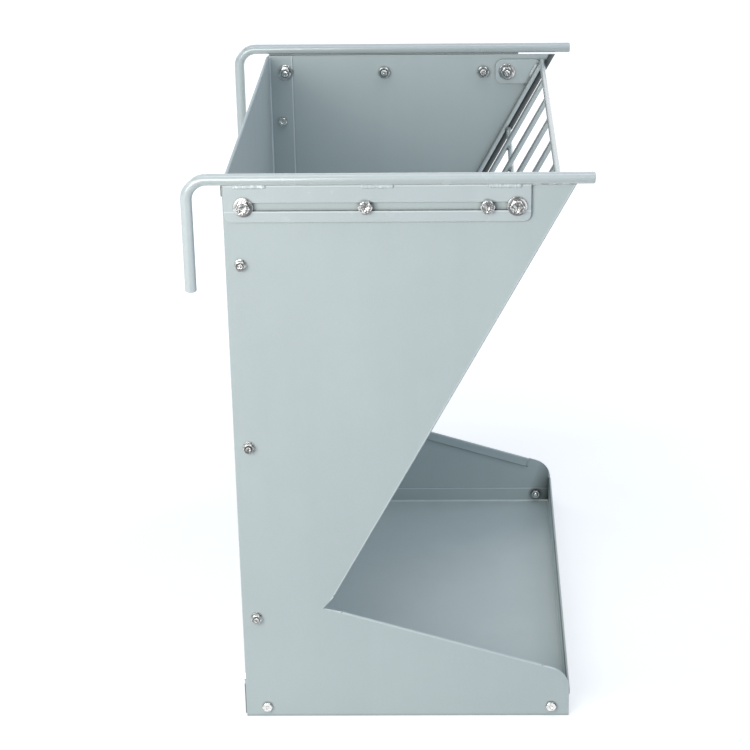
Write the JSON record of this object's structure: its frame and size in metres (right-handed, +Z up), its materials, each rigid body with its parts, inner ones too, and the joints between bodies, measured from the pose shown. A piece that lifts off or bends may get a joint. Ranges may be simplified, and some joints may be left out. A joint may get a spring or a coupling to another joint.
{
  "type": "sheep feed trough",
  "caption": "Sheep feed trough: a tall sheet-metal hopper with a hay grille in its sloping front, a hemmed tray below, and side rods bent into hooks that hang it on a rail.",
  "frame": {"origin": "on the floor under the middle of the side panels, halfway between them and halfway between their front and rear edges", "axes": "+X to the right as seen from the animals' side in front, the animals stand at -Y, the rail is at +Y, +Z up"},
  "size_m": [0.5706, 0.415, 0.6235],
  "materials": {
    "panel_paint": "semi-gloss powder coat, pale grey-green",
    "rod_paint": "semi-gloss powder coat, pale grey-green",
    "zinc": "bright zinc plate"
  },
  "bodies": {
    "root": {"left_side_panel": "panel_paint", "right_side_panel": "panel_paint", "back_panel": "panel_paint", "tray_pan": "panel_paint", "slot_bolts": "zinc", "slot_nuts": "zinc", "pivot_bolts": "zinc", "pivot_nuts": "zinc", "outer_washers": "zinc", "inner_washers": "zinc", "back_flange_bolts": "zinc", "back_flange_washers": "zinc", "back_flange_nuts": "zinc", "tray_side_bolts": "zinc", "tray_side_nuts": "zinc", "tray_rear_bolts": "zinc", "tray_rear_nuts": "zinc"},
    "left_hook": {"left_hook_rod": "rod_paint", "left_hook_strap": "rod_paint", "left_hook_welds": "rod_paint"},
    "right_hook": {"right_hook_rod": "rod_paint", "right_hook_strap": "rod_paint", "right_hook_welds": "rod_paint"},
    "grille": {"grille_top_rod": "rod_paint", "grille_cross_rods": "rod_paint", "grille_side_bars": "rod_paint", "grille_bars": "rod_paint", "grille_left_tab": "rod_paint", "grille_right_tab": "rod_paint", "grille_welds": "rod_paint"}
  },
  "joints": [
    {"name": "left_hook_slide", "type": "slide", "parent": "root", "child": "left_hook", "axis": [0, 1, 0], "range_m": [-0.005, 0.005]},
    {"name": "right_hook_slide", "type": "slide", "parent": "root", "child": "right_hook", "axis": [0, 1, 0], "range_m": [-0.005, 0.005]},
    {"name": "grille_swing", "type": "hinge", "parent": "root", "child": "grille", "pos_m": [0, -0.118, 0.589], "axis": [1, 0, 0], "range_deg": [-14, 2]}
  ]
}
